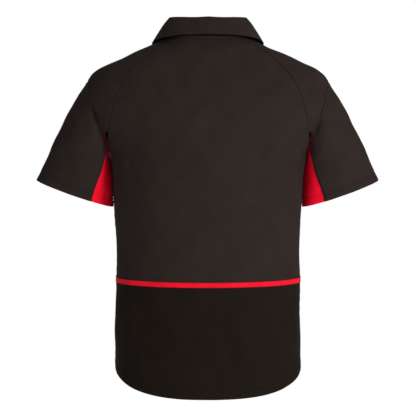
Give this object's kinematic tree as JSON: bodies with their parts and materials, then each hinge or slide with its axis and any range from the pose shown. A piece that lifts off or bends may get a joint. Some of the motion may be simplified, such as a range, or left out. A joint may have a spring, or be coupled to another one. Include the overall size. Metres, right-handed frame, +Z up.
{
  "type": "short-sleeved soccer jersey",
  "caption": "Short-sleeved sports jersey with a folded collar, raglan shoulders, underarm gussets, a taped back seam and a shirt-tail hem, in its hollow worn form.",
  "frame": {"origin": "midway between the two shoulders, level with the base of the neck, where the wearer's shoulders hold the jersey", "axes": "+Z up towards the collar, +Y the way the wearer faces, +X towards the wearer's right, so the pictured back faces -Y"},
  "size_m": [0.6878, 0.2356, 0.7437],
  "materials": {
    "upper_cloth": "black fine knit with a soft sheen",
    "lower_cloth": "deeper black fine knit, matt",
    "gusset_cloth": "red fine knit",
    "tape": "red ribbed tape",
    "collar_cloth": "black fine knit, doubled"
  },
  "bodies": {
    "root": {"back_panel": "upper_cloth", "lower_back_panel": "lower_cloth", "back_tape": "tape", "front_panel": "upper_cloth", "shoulder_panel_left": "upper_cloth", "shoulder_panel_right": "upper_cloth", "sleeve_left": "upper_cloth", "sleeve_right": "upper_cloth", "gusset_left": "gusset_cloth", "gusset_right": "gusset_cloth", "collar_stand": "collar_cloth", "collar_leaf": "collar_cloth"}
  },
  "joints": []
}
